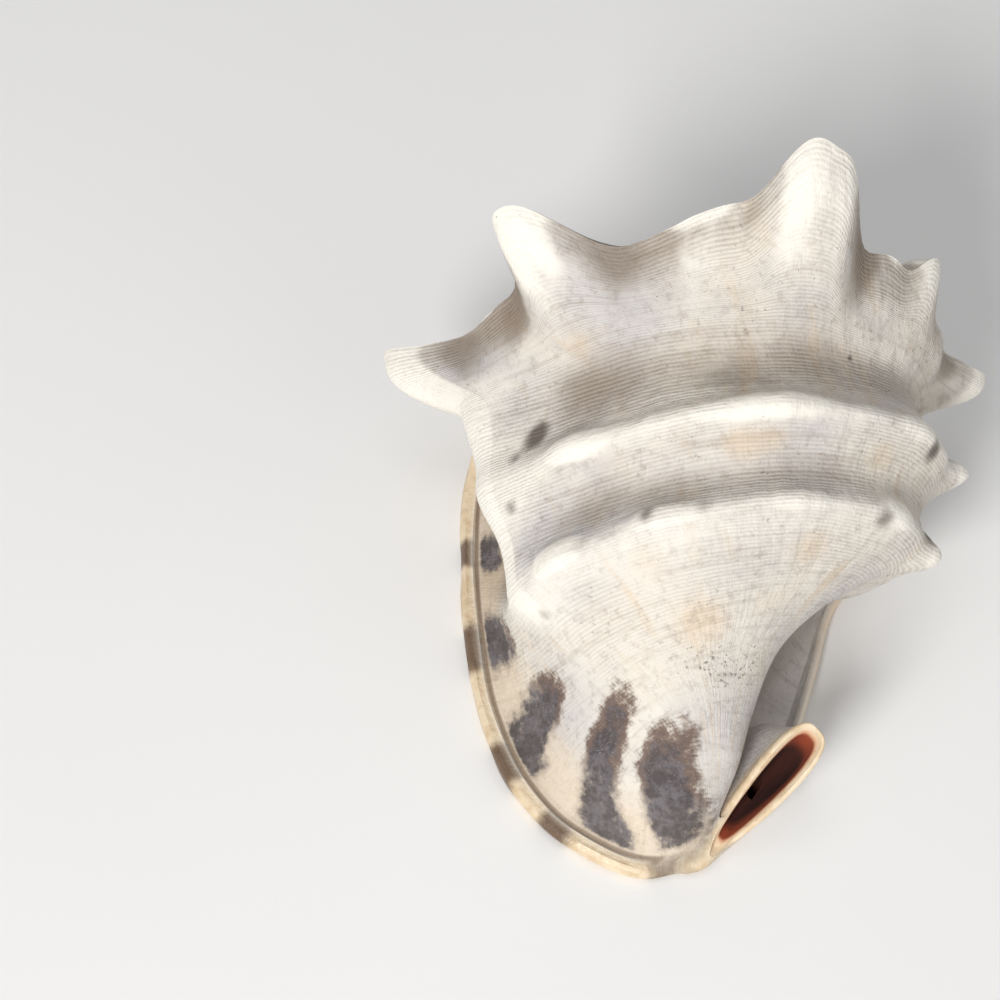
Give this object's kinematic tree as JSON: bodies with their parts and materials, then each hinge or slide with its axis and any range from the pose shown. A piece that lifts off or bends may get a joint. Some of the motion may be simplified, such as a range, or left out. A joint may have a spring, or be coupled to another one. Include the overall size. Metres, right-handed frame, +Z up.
{
  "type": "horned helmet shell",
  "caption": "Large horned helmet seashell lying on its aperture, with a flared outer lip, an upturned canal and a low spire.",
  "frame": {"origin": "on the resting plane, under the middle of the bounding box", "axes": "+Z up, +Y towards the spire, -X towards the outer lip, -Y towards the siphonal canal"},
  "size_m": [0.2298, 0.21, 0.1891],
  "materials": {
    "shell": "chalky cream shell with fine spiral cords, slate and brown patches by the lip, glossy peach underside"
  },
  "bodies": {
    "root": {"helmet_shell": "shell"}
  },
  "joints": []
}
